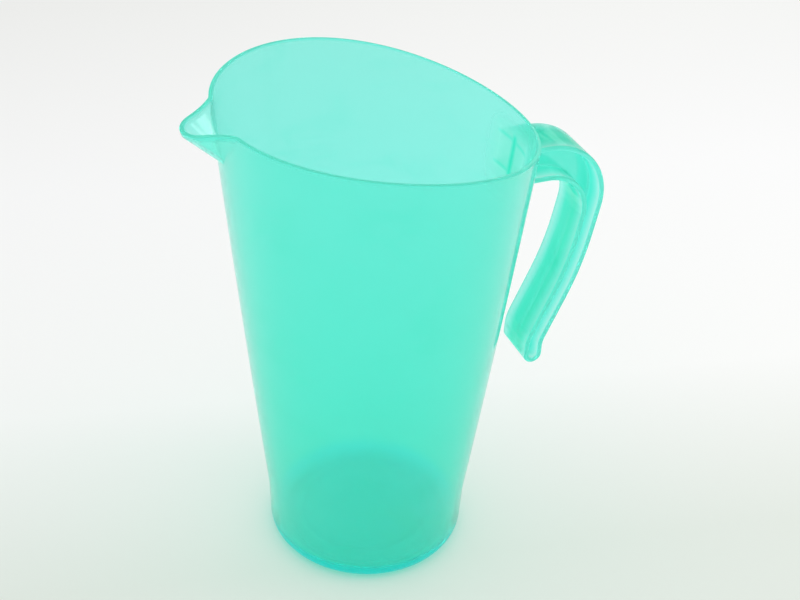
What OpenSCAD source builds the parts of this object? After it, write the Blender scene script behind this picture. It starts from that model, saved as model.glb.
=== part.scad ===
// Pitcher in one translucent moulding, drawn as the regions that its walls meet in.
// Origin at the centre of the standing ring, +Z up, handle towards +X and spout towards -X.

/* [Body] */
// Height of the rim beside the spout
rim_high = 240.5; // [215:0.5:280]
// How much lower the rim lies beside the handle
rim_fall = 21.5; // [5:0.5:40]
// Outer diameter of the wall at the height of the spout-side rim
mouth_d = 143.6; // [125:0.2:170]
// Outer diameter at the top of the base band
band_d = 98.4; // [85:0.2:110]
// Outer diameter of the base band carried down to the ground
foot_d = 96.4; // [80:0.2:105]
// Height of the base band
band_h = 25.5; // [18:0.5:60]
// Thickness of the side wall
wall = 1.8; // [1.2:0.1:3]
// Height of the strip along the rim
rim_h = 3; // [1.5:0.5:8]

/* [Base] */
// Radius of the rounded heel
heel_r = 7; // [3:0.5:12]
// Width of the flat ring that the pitcher stands on
ring_w = 2; // [1:0.1:5]
// Height of the hollow under the floor
recess_h = 3.8; // [1:0.1:8]
// Thickness of the floor
floor_t = 2.2; // [1.5:0.1:4]

/* [Spout] */
// Reach of the lip beyond the wall
spout_reach = 14.8; // [8:0.1:30]
// Depth of the keel's lower end below the spout-side rim
spout_depth = 21.3; // [14:0.1:40]
// Depth of the tip of the lip below the spout-side rim
lip_drop = 3.5; // [0:0.1:8]
// Slope of the lip from the rim down to its tip, in degrees
lip_slope = 11; // [4:0.5:25]
// Height of the upright lip
lip_h = 2.2; // [1:0.1:4]
// Radius of the lip seen from above
lip_r = 11; // [8:0.5:16]
// Radius of the flare that joins the lip to the wall
flare_r = 36; // [10:1:60]
// Thickness of the spout
spout_t = 2; // [1.2:0.1:3]

/* [Handle] */
// Depth of the handle's top face below the handle-side rim
handle_drop = 12.1; // [4:0.1:30]
// Width of both flanges
handle_w = 24; // [16:0.5:30]
// Thickness of both flanges
flange_t = 2.4; // [1.6:0.1:3.6]
// Thickness of the web
web_t = 2.2; // [1.4:0.1:4]
// Straight run of the top face between the wall and the bend
root_run = 10.9; // [6:0.1:25]
// Depth of the handle at its root, from top face to underside
root_depth = 17.8; // [13:0.1:24]
// Depth of the grip, from palm face to finger face
grip_depth = 9.5; // [7:0.1:13]
// Radius of the bend on the palm face
bend_outer_r = 31.2; // [26:0.1:40]
// Radius of the bend on the finger face
bend_inner_r = 20; // [12:0.1:24]
// Lean of the upper grip from upright, in degrees
grip_lean = 9.8; // [4:0.1:16]
// Straight length of the upper grip
upper_grip = 9.5; // [3:0.1:30]
// Radius of the curved middle of the grip, on the palm face
curl_r = 155; // [80:1:300]
// Turn of the curved middle of the grip, in degrees
curl_angle = 13.1; // [5:0.1:20]
// Straight length of the lower grip
lower_grip = 23.5; // [8:0.1:50]
// Radius where the palm face turns upright again above the tip
kick_r = 14; // [8:0.5:30]
// Straight length above the round tip
tip_run = 4; // [1:0.1:12]

/* [Hidden] */
$fn = 180;
crown_fn = 1440;
tint = "turquoise";

mouth_r = mouth_d / 2;
band_r = band_d / 2;
foot_r = foot_d / 2;
floor_top = recess_h + floor_t;
// What cuts or extends a shape runs this far past it
past = 5;

// Side wall and base band
band_slope = atan((band_r - foot_r) / band_h);
wall_slope = (mouth_r - band_r) / (rim_high - band_h);
function wall_r(z) = band_r + (z - band_h) * wall_slope;
heel_x = foot_r + heel_r * tan(band_slope) - heel_r / cos(band_slope);
heel_end = [heel_x + heel_r * cos(band_slope), heel_r - heel_r * sin(band_slope)];
ring_inner_r = heel_x - ring_w;
floor_inner_r = foot_r + floor_top * tan(band_slope) - wall;
top_z = rim_high + past;

// The rim lies on a cylinder across the pitcher that is level at the spout-side wall
rim_low = rim_high - rim_fall;
rim_span = mouth_r + wall_r(rim_low);
crown_r = (rim_span * rim_span + rim_fall * rim_fall) / (2 * rim_fall);

// Spout: a cone over the lip's outline, which lies in a plane that slopes down to the tip.
// Its apex lies inside the body, where the line of the keel runs on past the wall.
// Its own frame starts at the apex, with u towards the tip and v square to the lip.
keel_end = [-wall_r(rim_high - spout_depth), rim_high - spout_depth];
tip = [-(mouth_r + spout_reach), rim_high - lip_drop];
lip_u = [-cos(lip_slope), -sin(lip_slope)];
lip_v = [-sin(lip_slope), cos(lip_slope)];
keel = tip - lip_h * lip_v - keel_end;
apex = keel_end + keel * past / keel[0];
tip_u = (tip - apex) * lip_u;
lip_v0 = (tip - apex) * lip_v - lip_h;
lip_centre_u = tip_u - lip_r;
axis_u = tip_u + tip[0] / cos(lip_slope);
// The flare touches the lip's circle and a circle in the middle of the wall
flare_wall_r = mouth_r - wall / 2;
flare_from_axis = flare_wall_r + flare_r;
flare_from_lip = lip_r + flare_r;
axis_to_lip = lip_centre_u - axis_u;
flare_x = (axis_to_lip * axis_to_lip + flare_from_axis * flare_from_axis
    - flare_from_lip * flare_from_lip) / (2 * axis_to_lip);
flare_y = sqrt(flare_from_axis * flare_from_axis - flare_x * flare_x);
flare_wall_angle = atan2(flare_y, flare_x);
flare_lip_angle = atan2(flare_y, flare_x - axis_to_lip);
spout_inlet_u = axis_u + flare_wall_r * cos(flare_wall_angle) - past;
flare_steps = 8;
lip_steps = 16;

// Handle: two flanges that share the grip's turns, each with its own bend and root
handle_top = rim_low - handle_drop;
bend_outer_x = wall_r(handle_top) + root_run;
bend_outer_z = handle_top - bend_outer_r;
bend_inner_z = handle_top - root_depth - bend_inner_r;
bend_inner_x = bend_outer_x - (grip_depth - bend_outer_r + bend_inner_r
    + sin(grip_lean) * (bend_outer_z - bend_inner_z)) / cos(grip_lean);
grip_dir = [-sin(grip_lean), -cos(grip_lean)];
outer_exit = [bend_outer_x, bend_outer_z] * grip_dir;
inner_exit = [bend_inner_x, bend_inner_z] * grip_dir;
grip_start = max(outer_exit, inner_exit);
root_x = wall_r(handle_top - root_depth) - past;
bend_angle = 90 + grip_lean;
kick_angle = grip_lean + curl_angle;
// Each step along a face is [length, 0, 0] or [0, radius, turn to the right]
palm_start = [root_x, handle_top];
palm_steps = [
    [bend_outer_x - root_x, 0, 0],
    [0, bend_outer_r, bend_angle],
    [grip_start - outer_exit + upper_grip, 0, 0],
    [0, curl_r, curl_angle],
    [lower_grip, 0, 0],
    [0, kick_r, -kick_angle],
    [tip_run, 0, 0]
];
finger_start = [root_x, handle_top - root_depth];
finger_steps = [
    [bend_inner_x - root_x, 0, 0],
    [0, bend_inner_r, bend_angle],
    [grip_start - inner_exit + upper_grip, 0, 0],
    [0, curl_r - grip_depth, curl_angle],
    [lower_grip, 0, 0],
    [0, kick_r + grip_depth, -kick_angle],
    [tip_run, 0, 0]
];
tip_steps = [[0, grip_depth / 2, 180]];
// A turn has one point for about this many degrees
turn_step = 3;

// The half section of everything inside the outer face
module outer_half() {
    polygon([
        [0, 0], [heel_x, 0], heel_end, [band_r, band_h], [wall_r(top_z), top_z], [0, top_z]
    ]);
    translate([heel_x, heel_r]) circle(heel_r);
}

// The half section of the room that holds the drink
module inner_half() {
    polygon([
        [0, floor_top], [floor_inner_r, floor_top], [band_r - wall, band_h],
        [wall_r(top_z) - wall, top_z], [0, top_z]
    ]);
}

module body_outside() {
    rotate_extrude() outer_half();
}

module body_inside() {
    rotate_extrude() inner_half();
}

// Side wall from the top of the base band to above the rim
module wall_tube() {
    rotate_extrude() polygon([
        [band_r - wall, band_h], [band_r, band_h],
        [wall_r(top_z), top_z], [wall_r(top_z) - wall, top_z]
    ]);
}

// Everything under the sloping rim, or that much below it
module under_crown(below = 0) {
    translate([-mouth_r, 0, rim_high - crown_r])
        rotate([90, 0, 0])
            cylinder(r = crown_r - below, h = 2 * mouth_d, center = true, $fn = crown_fn);
}

// Outline of the lip in its sloping plane, from the wall round the tip and back
module lip_outline(inset) {
    lip = lip_r - inset;
    flare = flare_r + inset;
    side = concat(
        [[spout_inlet_u, (flare_wall_r - inset) * sin(flare_wall_angle)]],
        [for (i = [0 : flare_steps])
            let (a = flare_wall_angle + (flare_lip_angle - flare_wall_angle) * i / flare_steps)
            [axis_u + flare_x - flare * cos(a), flare_y - flare * sin(a)]],
        [for (i = [1 : lip_steps])
            let (a = flare_lip_angle * (1 - i / lip_steps))
            [lip_centre_u + lip * cos(a), lip * sin(a)]]
    );
    polygon(concat(side, [for (i = [len(side) - 2 : -1 : 0]) [side[i][0], -side[i][1]]]));
}

// Solid of the spout, drawn in by the inset, with its upright lip carried on by a length
module spout_solid(inset, lip_length) {
    translate([apex[0], 0, apex[1]])
        rotate([0, -lip_slope, 0])
            mirror([1, 0, 0])
                translate([-inset, 0, lip_v0]) {
                    mirror([0, 0, 1])
                        linear_extrude(height = lip_v0, scale = 0)
                            translate([inset, 0]) lip_outline(inset);
                    linear_extrude(height = lip_length)
                        translate([inset, 0]) lip_outline(inset);
                }
}

module floor() {
    color(tint)
        translate([0, 0, recess_h]) cylinder(r = ring_inner_r, h = floor_t);
}

module base_band() {
    color(tint)
        rotate_extrude() difference() {
            outer_half();
            inner_half();
            translate([0, band_h]) square([mouth_d, top_z]);
            square([ring_inner_r, top_z]);
        }
}

module body_wall() {
    color(tint)
        difference() {
            intersection() {
                wall_tube();
                under_crown(rim_h);
            }
            spout_solid(0, lip_h + past);
        }
}

module rim() {
    color(tint)
        difference() {
            intersection() {
                wall_tube();
                under_crown();
            }
            under_crown(rim_h);
            spout_solid(0, lip_h + past);
        }
}

module spout() {
    color(tint)
        difference() {
            intersection() {
                spout_solid(0, lip_h);
                under_crown();
            }
            spout_solid(spout_t, lip_h + past);
            body_inside();
        }
}

// Points along a face, moved to its right by an offset
function right_of(heading) = [sin(heading), -cos(heading)];
function ahead_of(heading) = [cos(heading), sin(heading)];
function turn_point(at, heading, step, part) =
    at + sign(step[2]) * step[1] * (right_of(heading) - right_of(heading - part * step[2]));
function step_end(at, heading, step) =
    step[1] == 0 ? at + step[0] * ahead_of(heading) : turn_point(at, heading, step, 1);
function turn_parts(step) = ceil(abs(step[2]) / turn_step);
function step_points(at, heading, step, offset) =
    step[1] == 0 ? [at + offset * right_of(heading)]
    : [for (k = [0 : turn_parts(step) - 1])
        let (part = k / turn_parts(step))
        turn_point(at, heading, step, part) + offset * right_of(heading - part * step[2])];
function path_end(at, heading, steps, i = 0) =
    i == len(steps) ? at
    : path_end(step_end(at, heading, steps[i]), heading - steps[i][2], steps, i + 1);
function path_points(at, heading, steps, offset, i = 0) =
    i == len(steps) ? [at + offset * right_of(heading)]
    : concat(
        step_points(at, heading, steps[i], offset),
        path_points(step_end(at, heading, steps[i]), heading - steps[i][2], steps, offset, i + 1));
function reversed(points) = [for (i = [len(points) - 1 : -1 : 0]) points[i]];

function palm_line(offset) = path_points(palm_start, 0, palm_steps, offset);
function finger_line(offset) = path_points(finger_start, 0, finger_steps, -offset);
function tip_line(offset) = path_points(path_end(palm_start, 0, palm_steps), -90, tip_steps, offset);

// An outline in the plane of symmetry, given a width across it and cut to seat on the wall
module handle_plate(outline, width) {
    difference() {
        rotate([90, 0, 0])
            linear_extrude(height = width, center = true)
                polygon(outline);
        body_outside();
    }
}

module handle_outer_flange() {
    color(tint)
        handle_plate(concat(palm_line(0), reversed(palm_line(flange_t))), handle_w);
}

module handle_inner_flange() {
    color(tint)
        handle_plate(concat(finger_line(0), reversed(finger_line(flange_t))), handle_w);
}

module handle_web() {
    color(tint)
        handle_plate(
            concat(palm_line(flange_t), tip_line(flange_t), reversed(finger_line(flange_t))),
            web_t);
}

module handle_tip() {
    color(tint)
        handle_plate(concat(tip_line(0), reversed(tip_line(flange_t))), handle_w);
}

floor();
base_band();
body_wall();
rim();
spout();
handle_outer_flange();
handle_inner_flange();
handle_web();
handle_tip();
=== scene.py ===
from math import atan, atan2, ceil, cos, hypot, pi, radians, sin, sqrt, tan

import bmesh
import bpy
from mathutils import Matrix, Vector


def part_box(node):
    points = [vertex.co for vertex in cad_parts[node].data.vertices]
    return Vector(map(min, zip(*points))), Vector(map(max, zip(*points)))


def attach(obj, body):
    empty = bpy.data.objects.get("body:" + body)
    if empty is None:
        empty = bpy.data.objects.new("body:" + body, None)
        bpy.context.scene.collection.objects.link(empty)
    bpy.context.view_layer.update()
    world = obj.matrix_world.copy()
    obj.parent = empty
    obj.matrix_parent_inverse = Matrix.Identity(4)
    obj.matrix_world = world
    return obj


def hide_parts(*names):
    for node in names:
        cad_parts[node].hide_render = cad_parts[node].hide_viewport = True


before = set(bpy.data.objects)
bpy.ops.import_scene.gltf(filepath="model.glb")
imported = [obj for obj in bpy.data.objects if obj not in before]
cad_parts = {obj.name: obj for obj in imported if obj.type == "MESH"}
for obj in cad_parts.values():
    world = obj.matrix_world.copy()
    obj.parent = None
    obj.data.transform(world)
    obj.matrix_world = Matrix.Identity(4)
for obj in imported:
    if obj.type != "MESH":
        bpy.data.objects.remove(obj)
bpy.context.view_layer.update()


# Vessel: the floor, base band, side wall, rim and spout of the pitcher.
# They are one skin of translucent turquoise plastic, about 2 mm thick, that leaves its mould in
# one piece. It is turned from its half section, then its rim is sloped and its spout pulled out.
mm = 0.001
rim_high = 240.5 * mm
rim_fall = 21.5 * mm
mouth_r = 71.75 * mm
band_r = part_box("base_band")[1].y
band_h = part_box("base_band")[1].z
foot_r = 48.2 * mm
heel_r = 7 * mm
ring_w = 2 * mm
recess_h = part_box("floor")[0].z
floor_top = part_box("floor")[1].z
floor_fillet = 2.5 * mm
foot_h = 10 * mm
wall = 1.8 * mm
wall_bow = 0.5 * mm
rim_round = 0.4 * mm
round_steps = 12
coarse_rows = 10
fine_rows = 46
fine_depth = 40 * mm
wall_columns = 512
same_place = 0.01 * mm


def wall_radius(z):
    """Outer radius of the side wall, which bows out a little between its ends."""
    share = (z - band_h) / (rim_high - band_h)
    return band_r + (mouth_r - band_r) * share + 4 * wall_bow * share * (1 - share)


def draw_line(name, points):
    """A new object, left in edit mode, with one line of edges through points of the plane y = 0."""
    bpy.ops.object.select_all(action="DESELECT")
    bpy.ops.mesh.primitive_plane_add(size=mm)
    line = bpy.context.object
    line.name = name
    line.data.name = name
    bpy.ops.object.mode_set(mode="EDIT")
    bpy.ops.mesh.merge(type="CENTER")
    bpy.ops.transform.translate(value=(points[0][0], 0, points[0][1]))
    for start, end in zip(points, points[1:]):
        move = (end[0] - start[0], 0, end[1] - start[1])
        bpy.ops.mesh.extrude_vertices_move(TRANSFORM_OT_translate={"value": move})
    bpy.ops.mesh.select_all(action="SELECT")
    return line


def arc(centre, radius, start, end):
    """Points on a circle in the plane y = 0, between two angles from +X towards +Z."""
    turns = [start + (end - start) * i / round_steps for i in range(round_steps + 1)]
    return [(centre[0] + radius * cos(a), centre[1] + radius * sin(a)) for a in turns]


band_slope = atan((band_r - foot_r) / band_h)
heel_x = foot_r + heel_r * tan(band_slope) - heel_r / cos(band_slope)
ring_inner_r = heel_x - ring_w
floor_inner_r = foot_r + floor_top * tan(band_slope) - wall
rim_base = rim_high - rim_round
fine_base = rim_high - fine_depth
row_heights = [band_h + (fine_base - band_h) * i / coarse_rows for i in range(coarse_rows)]
row_heights += [fine_base + (rim_base - fine_base) * i / fine_rows for i in range(fine_rows + 1)]

half_section = [(0, recess_h), (ring_inner_r, recess_h), (ring_inner_r, 0)]
half_section += arc((heel_x, heel_r), heel_r, -pi / 2, -band_slope)
half_section.append((foot_r + foot_h * tan(band_slope), foot_h))
half_section += [(wall_radius(z), z) for z in row_heights]
rim_middle = wall_radius(rim_base) - wall / 2
for step in range(1, round_steps):
    turn = pi * step / round_steps
    half_section.append((rim_middle + wall / 2 * cos(turn), rim_base + rim_round * sin(turn)))
half_section += [(wall_radius(z) - wall, z) for z in reversed(row_heights)]
half_section.append((foot_r + foot_h * tan(band_slope) - wall, foot_h))
fillet_centre = (floor_inner_r - floor_fillet, floor_top + floor_fillet)
half_section += arc(fillet_centre, floor_fillet, 0, -pi / 2)
half_section.append((0, floor_top))

vessel = draw_line("vessel", half_section)
bpy.ops.mesh.spin(steps=wall_columns, angle=2 * pi, center=(0, 0, 0), axis=(0, 0, 1))
bpy.ops.mesh.select_all(action="SELECT")
bpy.ops.mesh.remove_doubles(threshold=same_place)
bpy.ops.mesh.normals_make_consistent(inside=False)
bpy.ops.object.mode_set(mode="OBJECT")

# The sloping rim lies on a wide cylinder across the pitcher, level at the spout-side wall.
# The spout is a cone under its lip, whose plane slopes down to the tip. Its own frame starts at
# the cone's apex inside the body, with u towards the tip and v square to the lip.
spout_reach = 14.8 * mm
spout_depth = 21.3 * mm
lip_drop = 3.5 * mm
lip_slope = radians(11)
lip_h = 2.2 * mm
lip_r = 11 * mm
flare_r = 36 * mm
spout_t = 2 * mm
apex_past = 5 * mm
crease = 0.5 * mm
spout_crowding = 0.6
spout_half_turn = radians(40)
halvings = 22
settling_rounds = 3
vessel_smooth_angle = radians(60)

rim_low = rim_high - rim_fall
rim_span = mouth_r + wall_radius(rim_low)
crown_r = (rim_span**2 + rim_fall**2) / (2 * rim_fall)
keel_z = rim_high - spout_depth
keel_end = Vector((-wall_radius(keel_z), keel_z))
tip = Vector((-mouth_r - spout_reach, rim_high - lip_drop))
lip_u = Vector((-cos(lip_slope), -sin(lip_slope)))
lip_v = Vector((-sin(lip_slope), cos(lip_slope)))
keel = tip - lip_h * lip_v - keel_end
apex = keel_end + keel * apex_past / keel.x
tip_u = (tip - apex).dot(lip_u)
lip_v0 = (tip - apex).dot(lip_v) - lip_h
lip_centre_u = tip_u - lip_r
axis_u = tip_u + tip.x / cos(lip_slope)
flare_from_axis = mouth_r - wall / 2 + flare_r
axis_to_lip = lip_centre_u - axis_u
flare_u = (axis_to_lip**2 + flare_from_axis**2 - (lip_r + flare_r) ** 2) / (2 * axis_to_lip)
flare_w = sqrt(flare_from_axis**2 - flare_u**2)
flare_lip_angle = atan2(flare_w, flare_u - axis_to_lip)
flare_wall_angle = atan2(flare_w, flare_u)


def larger(a, b):
    """The larger of two radii, with the corner between them rounded off."""
    near = max(crease - abs(a - b), 0) / crease
    return max(a, b) + near * near * crease / 4


def rim_height(x):
    """Height of the edge above a place along the pitcher: the crown, or the lip's slope."""
    crown = rim_high - crown_r + sqrt(crown_r**2 - (x + mouth_r) ** 2)
    return -larger(-crown, -(tip.y + (x - tip.x) * tan(lip_slope)))


def lip_half_width(u, inset):
    """Half the width of the lip's outline: the tip's circle, then the flare, then the wall."""
    if u >= tip_u - inset:
        return 0
    if u >= lip_centre_u + (lip_r - inset) * cos(flare_lip_angle):
        return sqrt((lip_r - inset) ** 2 - (u - lip_centre_u) ** 2)
    from_flare = u - axis_u - flare_u
    if from_flare > -(flare_r + inset) * cos(flare_wall_angle):
        return flare_w - sqrt((flare_r + inset) ** 2 - from_flare**2)
    return sqrt(max((mouth_r - wall / 2 - inset) ** 2 - (u - axis_u) ** 2, 0))


def in_spout(x, y, z, inset):
    """True inside the cone of the spout, or the upright lip above it, drawn in by the inset."""
    place = Vector((x, z)) - apex
    share = min(place.dot(lip_v) / lip_v0, 1)
    if share <= 0:
        return False
    u = (place.dot(lip_u) + inset) / share - inset
    return abs(y) < share * lip_half_width(u, inset)


def spout_radius(turn, z, inset):
    """How far the spout reaches from the axis, in one direction and at one height."""
    near = mouth_r / 2
    far = -tip.x
    if pi - abs(turn) > spout_half_turn or z < apex.y:
        return near
    for _ in range(halvings):
        middle = (near + far) / 2
        if in_spout(middle * cos(turn), middle * sin(turn), z, inset):
            near = middle
        else:
            far = middle
    return near


# Each vertex is moved to its place under the sloping rim and out to the spout. It also gets how
# far light goes through the plastic there, as a multiple of the wall's thickness, with painted
# shade and a painted highlight added, and how milky the plastic is.
floor_way = 2.0
heel_way = 1.9
# The wall's tint deepens from the rim down to the base: painted shade of the dimmer light low in and
# under the pitcher
low_shaded_way = 1.15
high_way = 0.82
# The spout is paler: partly its thinner plastic, partly a painted highlight on its inner face
spout_way_and_highlight = 0.85
edge_way = 1.0
edge_depth = 1 * mm
foot_blur = 1 * mm
spout_blur = 2 * mm
foot_milk = 0.5
wall_milk = 0.16
edge_milk = 0.7

light_way_and_shade = []
milky = []
for vertex in vessel.data.vertices:
    x, y, z = vertex.co
    radius = hypot(x, y)
    turn = atan2(y, x)
    turn += spout_crowding * sin(turn)
    if z <= band_h:
        vertex.co = (radius * cos(turn), radius * sin(turn), z)
        in_foot = z < foot_h - foot_blur
        foot_way = floor_way if radius < heel_x else heel_way
        light_way_and_shade.append(foot_way if in_foot else low_shaded_way)
        milky.append(foot_milk if in_foot and radius < heel_x else wall_milk)
        continue
    depth_in_wall = (wall_radius(z) - radius) / wall
    level = (z - band_h) / (rim_high - band_h)
    for _ in range(settling_rounds):
        z = band_h + level * (rim_height(radius * cos(turn)) - band_h)
        outer = larger(wall_radius(z), spout_radius(turn, z, 0))
        inner = larger(wall_radius(z) - wall, spout_radius(turn, z, spout_t))
        radius = outer + (inner - outer) * depth_in_wall
    vertex.co = (radius * cos(turn), radius * sin(turn), z)
    # Painted shade: the wall deepens towards the base
    way_and_shade = low_shaded_way + (high_way - low_shaded_way) * level
    # Paler towards the spout, partly a painted highlight
    way_and_shade += (spout_way_and_highlight - way_and_shade) * min(max((outer - wall_radius(z)) / spout_blur, 0), 1)
    on_edge = (1 - level) * (rim_high - band_h) < edge_depth
    light_way_and_shade.append(edge_way if on_edge else way_and_shade)
    milky.append(edge_milk if on_edge else wall_milk)


def keep_values(piece, name, values):
    """Keeps one value for each vertex of a piece, for its plastic to read."""
    attribute = piece.data.attributes.new(name, "FLOAT", "POINT")
    attribute.data.foreach_set("value", values)


keep_values(vessel, "light_way_and_shade", light_way_and_shade)
keep_values(vessel, "milky", milky)
bpy.ops.object.shade_smooth_by_angle(angle=vessel_smooth_angle)


foot_dye = (0.15, 0.965, 1, 1)
wall_dye = (0.305, 0.962, 0.862, 1)
wisp_dye = (0.15, 0.91, 0.75, 1)
foot_shade = (0.34, 0.9, 0.83, 1)
wall_shade = (0.82, 0.98, 0.94, 1)
milk_depth = 1.35


def turquoise_plastic():
    """Dyed plastic that is part clear and part milky, deeper where light goes further through it and
    where shade is painted.
    """
    material = bpy.data.materials.new("turquoise_plastic")
    material.use_nodes = True
    nodes = material.node_tree.nodes
    links = material.node_tree.links
    clear = nodes["Principled BSDF"]
    clear.inputs["IOR"].default_value = 1.49
    clear.inputs["Transmission Weight"].default_value = 0.96
    clear.inputs["Specular IOR Level"].default_value = 0.2
    clear.inputs["Roughness"].default_value = 0.1

    # A wisp of the flow in the mould lies where a slow noise crosses its middle, and comes and
    # goes with a second noise
    place = nodes.new("ShaderNodeTexCoord")
    stretch = nodes.new("ShaderNodeMapping")
    stretch.inputs["Scale"].default_value = (1, 1, 2.2)
    links.new(place.outputs["Object"], stretch.inputs["Vector"])
    flow = nodes.new("ShaderNodeTexNoise")
    flow.inputs["Scale"].default_value = 16
    flow.inputs["Detail"].default_value = 5
    flow.inputs["Distortion"].default_value = 0.6
    links.new(stretch.outputs["Vector"], flow.inputs["Vector"])
    wisp = nodes.new("ShaderNodeValToRGB")
    wisp.color_ramp.elements[0].position = 0.46
    wisp.color_ramp.elements[1].position = 0.54
    wisp.color_ramp.elements[1].color = (0, 0, 0, 1)
    wisp.color_ramp.elements.new(0.5).color = (1, 1, 1, 1)
    links.new(flow.outputs["Fac"], wisp.inputs["Fac"])
    patch = nodes.new("ShaderNodeTexNoise")
    patch.inputs["Scale"].default_value = 28
    patch.inputs["Detail"].default_value = 3
    links.new(place.outputs["Object"], patch.inputs["Vector"])
    faint = nodes.new("ShaderNodeMapRange")
    faint.inputs["From Min"].default_value = 0.45
    faint.inputs["From Max"].default_value = 0.7
    faint.inputs["To Max"].default_value = 0.3
    links.new(patch.outputs["Fac"], faint.inputs["Value"])
    amount = nodes.new("ShaderNodeMath")
    amount.operation = "MULTIPLY"
    links.new(wisp.outputs["Color"], amount.inputs[0])
    links.new(faint.outputs["Result"], amount.inputs[1])
    axes = nodes.new("ShaderNodeSeparateXYZ")
    links.new(place.outputs["Object"], axes.inputs["Vector"])
    above_foot = nodes.new("ShaderNodeMapRange")
    above_foot.inputs["From Min"].default_value = floor_top
    above_foot.inputs["From Max"].default_value = foot_h
    links.new(axes.outputs["Z"], above_foot.inputs["Value"])
    dye = nodes.new("ShaderNodeMix")
    dye.data_type = "RGBA"
    dye.inputs["A"].default_value = foot_dye
    dye.inputs["B"].default_value = wall_dye
    links.new(above_foot.outputs["Result"], dye.inputs["Factor"])
    streaked = nodes.new("ShaderNodeMix")
    streaked.data_type = "RGBA"
    links.new(dye.outputs["Result"], streaked.inputs["A"])
    streaked.inputs["B"].default_value = wisp_dye
    links.new(amount.outputs["Value"], streaked.inputs["Factor"])

    # The dye deepens with the way of the light and with the shade painted into it, and more so where
    # the plastic is milky
    way_and_shade = nodes.new("ShaderNodeAttribute")
    way_and_shade.attribute_name = "light_way_and_shade"
    tint = nodes.new("ShaderNodeGamma")
    links.new(streaked.outputs["Result"], tint.inputs["Color"])
    links.new(way_and_shade.outputs["Fac"], tint.inputs["Gamma"])
    links.new(tint.outputs["Color"], clear.inputs["Base Color"])
    milk_tint = nodes.new("ShaderNodeGamma")
    milk_tint.inputs["Gamma"].default_value = milk_depth
    links.new(tint.outputs["Color"], milk_tint.inputs["Color"])

    # The milky share lets light through in all directions
    milk = nodes.new("ShaderNodeBsdfTranslucent")
    links.new(milk_tint.outputs["Color"], milk.inputs["Color"])
    milk_share = nodes.new("ShaderNodeAttribute")
    milk_share.attribute_name = "milky"
    dyed = nodes.new("ShaderNodeMixShader")
    links.new(milk_share.outputs["Fac"], dyed.inputs["Fac"])
    links.new(clear.outputs["BSDF"], dyed.inputs[1])
    links.new(milk.outputs["BSDF"], dyed.inputs[2])

    # Light that goes through to the ground keeps straight on and takes a tint of the plastic
    ray = nodes.new("ShaderNodeLightPath")
    soft_ray = nodes.new("ShaderNodeMath")
    soft_ray.operation = "MAXIMUM"
    shade = nodes.new("ShaderNodeMix")
    shade.data_type = "RGBA"
    shade.inputs["A"].default_value = foot_shade
    shade.inputs["B"].default_value = wall_shade
    links.new(above_foot.outputs["Result"], shade.inputs["Factor"])
    through = nodes.new("ShaderNodeBsdfTransparent")
    links.new(shade.outputs["Result"], through.inputs["Color"])
    choice = nodes.new("ShaderNodeMixShader")
    links.new(ray.outputs["Is Shadow Ray"], soft_ray.inputs[0])
    links.new(ray.outputs["Is Diffuse Ray"], soft_ray.inputs[1])
    links.new(soft_ray.outputs["Value"], choice.inputs["Fac"])
    links.new(dyed.outputs["Shader"], choice.inputs[1])
    links.new(through.outputs["BSDF"], choice.inputs[2])
    links.new(choice.outputs["Shader"], nodes["Material Output"].inputs["Surface"])
    return material


plastic = turquoise_plastic()
vessel.data.materials.append(plastic)
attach(vessel, "root")
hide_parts("floor", "base_band", "body_wall", "rim", "spout")


# Handle: the palm flange, finger flange, web and round free end of the grip.
# It is an I-section of the same plastic, moulded on to the wall at its root. Its side outline is
# drawn first, given its width, and then sunk on both sides down to the thin web.
handle_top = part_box("handle_outer_flange")[1].z
handle_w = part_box("handle_outer_flange")[1].y * 2
web_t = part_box("handle_web")[1].y * 2
flange_t = 2.4 * mm
root_depth = 17.8 * mm
grip_depth = 9.5 * mm
bend_outer_r = 31.2 * mm
bend_inner_r = 20 * mm
grip_lean = radians(9.8)
upper_grip = 9.5 * mm
curl_r = 155 * mm
curl_angle = radians(13.1)
lower_grip = 23.5 * mm
kick_r = 14 * mm
tip_run = 4 * mm
root_past = 5 * mm
turn_step = radians(3)
edge_round = 0.9 * mm
web_fillet = 0.7 * mm
round_segments = 4
corner_angle = radians(45)
sideways = 0.99
handle_smooth_angle = radians(35)
seat_gap = 0.05 * mm
seat_blur = 1 * mm
seat_reach = 0.2 * mm

palm_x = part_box("handle_outer_flange")[1].x
bend_outer = Vector((palm_x - bend_outer_r, handle_top - bend_outer_r))
bend_inner_z = handle_top - root_depth - bend_inner_r
bend_shift = grip_depth - bend_outer_r + bend_inner_r + sin(grip_lean) * (bend_outer.y - bend_inner_z)
bend_inner = Vector((bend_outer.x - bend_shift / cos(grip_lean), bend_inner_z))
grip_way = Vector((-sin(grip_lean), -cos(grip_lean)))
outer_exit = bend_outer.dot(grip_way)
inner_exit = bend_inner.dot(grip_way)
grip_start = max(outer_exit, inner_exit)
root_x = wall_radius(handle_top - root_depth) - root_past
bend_angle = pi / 2 + grip_lean
kick_angle = grip_lean + curl_angle


def walk(at, heading, steps):
    """Points along a path of straights (length, 0) and turns to the right (radius, angle)."""
    points = [at.copy()]
    for size, angle in steps:
        if angle == 0:
            at = at + size * Vector((cos(heading), sin(heading)))
            points.append(at.copy())
            continue
        side = 1 if angle > 0 else -1
        centre = at + side * size * Vector((sin(heading), -cos(heading)))
        parts = ceil(abs(angle) / turn_step)
        for part in range(1, parts + 1):
            out = heading - angle * part / parts
            points.append(centre - side * size * Vector((sin(out), -cos(out))))
        at = points[-1].copy()
        heading -= angle
    return points


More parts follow.
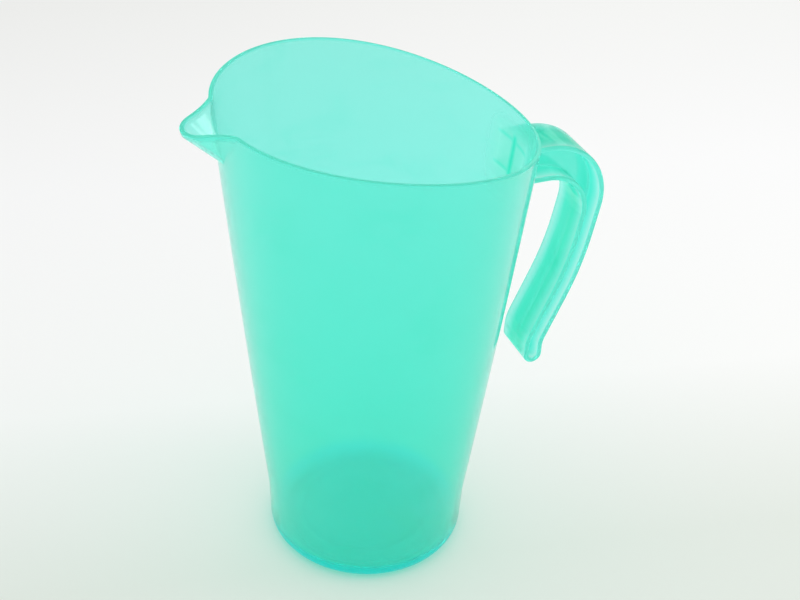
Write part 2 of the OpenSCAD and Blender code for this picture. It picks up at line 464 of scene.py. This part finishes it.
palm_line = walk(Vector((root_x, handle_top)), 0, [
    (bend_outer.x - root_x, 0),
    (bend_outer_r, bend_angle),
    (grip_start - outer_exit + upper_grip, 0),
    (curl_r, curl_angle),
    (lower_grip, 0),
    (kick_r, -kick_angle),
    (tip_run, 0),
])
finger_line = walk(Vector((root_x, handle_top - root_depth)), 0, [
    (bend_inner.x - root_x, 0),
    (bend_inner_r, bend_angle),
    (grip_start - inner_exit + upper_grip, 0),
    (curl_r - grip_depth, curl_angle),
    (lower_grip, 0),
    (kick_r + grip_depth, -kick_angle),
    (tip_run, 0),
])
tip_line = walk(palm_line[-1], -pi / 2, [(grip_depth / 2, pi)])
outline = palm_line + tip_line[1:-1] + finger_line[::-1]


def pick(piece, kind, test):
    """Selects the faces or edges of a piece in edit mode that pass a test."""
    bpy.ops.mesh.select_mode(type="FACE" if kind == "faces" else "EDGE")
    bpy.ops.mesh.select_all(action="DESELECT")
    mesh = bmesh.from_edit_mesh(piece.data)
    mesh.normal_update()
    for part in getattr(mesh, kind):
        if test(part):
            part.select_set(True)
    mesh.select_flush_mode()
    bmesh.update_edit_mesh(piece.data)


def is_corner(edge, distance):
    """True for an edge between two faces at an angle, all of it this far from the plane y = 0."""
    level = all(abs(abs(vertex.co.y) - distance) < same_place for vertex in edge.verts)
    return level and edge.calc_face_angle() > corner_angle


handle = draw_line("handle", outline)
bpy.ops.mesh.edge_face_add()
bpy.ops.transform.translate(value=(0, -handle_w / 2, 0))
bpy.ops.mesh.extrude_region_move(TRANSFORM_OT_translate={"value": (0, handle_w, 0)})
bpy.ops.mesh.select_all(action="SELECT")
bpy.ops.mesh.normals_make_consistent(inside=False)
pick(handle, "faces", lambda face: abs(face.normal.y) > sideways)
bpy.ops.mesh.inset(thickness=flange_t, use_even_offset=True)
web_depth = (handle_w - web_t) / 2
for side in (-1, 1):
    pick(handle, "faces", lambda face: face.normal.y * side > sideways and len(face.verts) > 4)
    bpy.ops.mesh.extrude_region_move(TRANSFORM_OT_translate={"value": (0, -side * web_depth, 0)})
bpy.ops.mesh.select_all(action="SELECT")
bpy.ops.mesh.normals_make_consistent(inside=False)
for distance, size in ((handle_w / 2, edge_round), (web_t / 2, web_fillet)):
    pick(handle, "edges", lambda edge: is_corner(edge, distance))
    bpy.ops.mesh.bevel(offset=size, segments=round_segments, affect="EDGES", clamp_overlap=False)
bpy.ops.object.mode_set(mode="OBJECT")

# The root is cut to the round of the wall that it is moulded on to
seat_low = handle_top - 2 * root_depth
seat_high = handle_top + root_depth / 2
bpy.ops.object.select_all(action="DESELECT")
bpy.ops.mesh.primitive_cone_add(
    vertices=wall_columns,
    radius1=wall_radius(seat_low) + seat_gap,
    radius2=wall_radius(seat_high) + seat_gap,
    depth=seat_high - seat_low,
    location=(0, 0, (seat_low + seat_high) / 2),
)
wall_cutter = bpy.context.object
bpy.ops.object.select_all(action="DESELECT")
handle.select_set(True)
bpy.context.view_layer.objects.active = handle
seat = handle.modifiers.new("seat", "BOOLEAN")
seat.operation = "DIFFERENCE"
seat.solver = "EXACT"
seat.object = wall_cutter
bpy.ops.object.modifier_apply(modifier=seat.name)
bpy.data.objects.remove(wall_cutter)
bpy.ops.object.shade_smooth_by_angle(angle=handle_smooth_angle)
flatness = handle.modifiers.new("flatness", "WEIGHTED_NORMAL")
flatness.keep_sharp = True
bpy.ops.object.modifier_apply(modifier=flatness.name)

# The flanges are deeper beside the web, painted shade of the channel there, and paler towards
# their free edges, which are milkier, as is the top of the handle
shaded_band_way = 1.6
web_way = 1.2
seat_way = 1.7
free_way = 0.35
flange_edge_way = 0.9
band_milk = 0.4
free_milk = 0.36
flange_edge_milk = 0.55
top_milk = 0.75
top_depth = 8 * mm
edge_margin = 0.25 * mm
free_edge = handle_w / 2 - edge_round - edge_margin
band_edge = 3.2 * mm
seat_end = wall_radius(handle_top) + seat_blur
bpy.ops.object.mode_set(mode="EDIT")
bpy.ops.mesh.select_all(action="SELECT")
bpy.ops.mesh.bisect(plane_co=(seat_end, 0, 0), plane_no=(1, 0, 0))
for place in (-free_edge, -band_edge, band_edge, free_edge):
    bpy.ops.mesh.select_all(action="SELECT")
    bpy.ops.mesh.bisect(plane_co=(0, place, 0), plane_no=(0, 1, 0))
bpy.ops.object.mode_set(mode="OBJECT")
light_way_and_shade = []
milky = []
for vertex in handle.data.vertices:
    x, y, z = vertex.co
    # Painted shade deepens the flanges beside the web
    out = min(max(abs(y) - band_edge, 0) / (free_edge - band_edge), 1)
    way_and_shade = shaded_band_way + (free_way - shaded_band_way) * out
    milk = band_milk + (free_milk - band_milk) * out
    if abs(y) < web_t / 2 + web_fillet + same_place:
        way_and_shade = web_way
    on_edge = abs(y) > free_edge + same_place
    if on_edge:
        way_and_shade = flange_edge_way
    if hypot(x, y) < wall_radius(z) + seat_reach:
        way_and_shade = seat_way
    under_top = min((handle_top - z) / top_depth, 1)
    milk = flange_edge_milk if on_edge else milk
    light_way_and_shade.append(way_and_shade)
    milky.append(milk + (top_milk - milk) * (1 - under_top))
keep_values(handle, "light_way_and_shade", light_way_and_shade)
keep_values(handle, "milky", milky)

# The wall is milkier and paler round the root, and deep where the handle's web and flanges are
# moulded on to it
root_milk = 0.75
root_margin = 12 * mm
root_pale_way = 0.6
root_way = 1.5
root_blur = 2.4 * mm
root_flange_fade = 1.3 * mm
wall_ways_and_shade = vessel.data.attributes["light_way_and_shade"].data
wall_milks = vessel.data.attributes["milky"].data
for vertex in vessel.data.vertices:
    x, y, z = vertex.co
    beside = max(abs(y) - handle_w / 2, 0)
    above = max(z - handle_top, handle_top - root_depth - z, 0)
    nearness = 1 - hypot(beside, above) / root_margin
    if x < 0 or nearness <= 0:
        continue
    milk = wall_milks[vertex.index]
    milk.value = max(milk.value, wall_milk + (root_milk - wall_milk) * nearness**2)
    way_and_shade = wall_ways_and_shade[vertex.index]
    way_and_shade.value += (min(way_and_shade.value, root_pale_way) - way_and_shade.value) * nearness**2
    from_web = abs(y)
    from_flange = abs(min(handle_top - z, z - handle_top + root_depth) - flange_t / 2)
    mark = 1 - hypot(beside, above, min(from_web, from_flange + root_flange_fade)) / root_blur
    if mark > 0:
        way_and_shade.value += (root_way - way_and_shade.value) * mark
handle.data.materials.append(plastic)
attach(handle, "root")
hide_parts("handle_outer_flange", "handle_inner_flange", "handle_web", "handle_tip")


# Studio: a pale floor with painted shade, greyer near the viewer and far off, under an even white
# sky.
# A large soft box hangs above, a small one on the right lights the spout, and a low one behind
# lights the rim.
floor_size = 8
floor_gap = 0.1 * mm
floor_fade_way = (0.213, 0.977, 0)
floor_fade_start = -0.1
floor_fade_end = 0.7
# Painted shade: the floor's colour greys and greens towards the viewer and greys far off, for the
# falloff of the light
floor_shade_colours = (
    (0.08, (0.77, 0.805, 0.755, 1)),
    (0.25, (0.925, 0.925, 0.915, 1)),
    (0.55, (0.925, 0.925, 0.925, 1)),
    (0.95, (0.86, 0.865, 0.85, 1)),
)
bpy.ops.object.select_all(action="DESELECT")
bpy.ops.mesh.primitive_plane_add(size=floor_size, location=(0, 0, -floor_gap))
studio_floor = bpy.context.object
studio_floor.name = "studio_floor"
floor_painted_shade = bpy.data.materials.new("floor_painted_shade")
floor_painted_shade.use_nodes = True
floor_shader = floor_painted_shade.node_tree.nodes["Principled BSDF"]
floor_place = floor_painted_shade.node_tree.nodes.new("ShaderNodeTexCoord")
floor_away = floor_painted_shade.node_tree.nodes.new("ShaderNodeVectorMath")
floor_away.operation = "DOT_PRODUCT"
floor_away.inputs[1].default_value = floor_fade_way
floor_share = floor_painted_shade.node_tree.nodes.new("ShaderNodeMapRange")
floor_share.inputs["From Min"].default_value = floor_fade_start
floor_share.inputs["From Max"].default_value = floor_fade_end
floor_shade_ramp = floor_painted_shade.node_tree.nodes.new("ShaderNodeValToRGB")
for step, _ in floor_shade_colours[1:-1]:
    floor_shade_ramp.color_ramp.elements.new(step)
for element, (step, colour) in zip(floor_shade_ramp.color_ramp.elements, floor_shade_colours):
    element.position = step
    element.color = colour
floor_links = floor_painted_shade.node_tree.links
floor_links.new(floor_place.outputs["Object"], floor_away.inputs[0])
floor_links.new(floor_away.outputs["Value"], floor_share.inputs["Value"])
floor_links.new(floor_share.outputs["Result"], floor_shade_ramp.inputs["Fac"])
floor_links.new(floor_shade_ramp.outputs["Color"], floor_shader.inputs["Base Color"])
floor_shader.inputs["Roughness"].default_value = 1
floor_shader.inputs["Specular IOR Level"].default_value = 0
studio_floor.data.materials.append(floor_painted_shade)

sky_strength = 0.8
world = bpy.data.worlds.new("studio_light")
world.use_nodes = True
world.node_tree.nodes["Background"].inputs["Color"].default_value = (1, 1, 1, 1)
world.node_tree.nodes["Background"].inputs["Strength"].default_value = sky_strength
bpy.context.scene.world = world

soft_box_data = bpy.data.lights.new("soft_box", "AREA")
soft_box_data.shape = "RECTANGLE"
soft_box_data.size = 1.6
soft_box_data.size_y = 1.6
soft_box_data.energy = 4
soft_box = bpy.data.objects.new("soft_box", soft_box_data)
bpy.context.scene.collection.objects.link(soft_box)
soft_box.location = (0.1, 0.2, 1.3)

side_target = Vector((0, 0, 0.15))
side_box_data = bpy.data.lights.new("side_box", "AREA")
side_box_data.size = 0.28
side_box_data.energy = 0.9
side_box = bpy.data.objects.new("side_box", side_box_data)
bpy.context.scene.collection.objects.link(side_box)
side_box.location = (0.74, -0.3, 0.7)
side_aim = side_target - side_box.location
side_box.rotation_euler = side_aim.to_track_quat("-Z", "Y").to_euler()

rim_target = Vector((0, 0, 0.2))
rim_box_data = bpy.data.lights.new("rim_box", "AREA")
rim_box_data.shape = "RECTANGLE"
rim_box_data.size = 0.5
rim_box_data.size_y = 0.3
rim_box_data.energy = 0.65
rim_box = bpy.data.objects.new("rim_box", rim_box_data)
bpy.context.scene.collection.objects.link(rim_box)
rim_box.location = (0.8, 0.9, 0.42)
rim_aim = rim_target - rim_box.location
rim_box.rotation_euler = rim_aim.to_track_quat("-Z", "Y").to_euler()


# Camera: where the photo was taken from, with the lens and the tilt that fit its rim and base.
camera_place = (-0.207785, -0.491781, 0.508081)
camera_yaw = radians(24.266)
camera_pitch = radians(34.972)
camera_roll = radians(2.838)
camera_data = bpy.data.cameras.new("camera")
camera_data.sensor_fit = "HORIZONTAL"
camera_data.sensor_width = 36
camera_data.lens = 63.18
camera = bpy.data.objects.new("camera", camera_data)
bpy.context.scene.collection.objects.link(camera)
camera.matrix_world = (
    Matrix.Translation(camera_place)
    @ Matrix.Rotation(-camera_yaw, 4, "Z")
    @ Matrix.Rotation(pi / 2 - camera_pitch, 4, "X")
    @ Matrix.Rotation(camera_roll, 4, "Z")
)
bpy.context.scene.camera = camera
bpy.context.scene.view_settings.view_transform = "Standard"
light_bounces = 64
bpy.context.scene.cycles.max_bounces = light_bounces
bpy.context.scene.cycles.transmission_bounces = light_bounces
bpy.context.scene.cycles.glossy_bounces = light_bounces
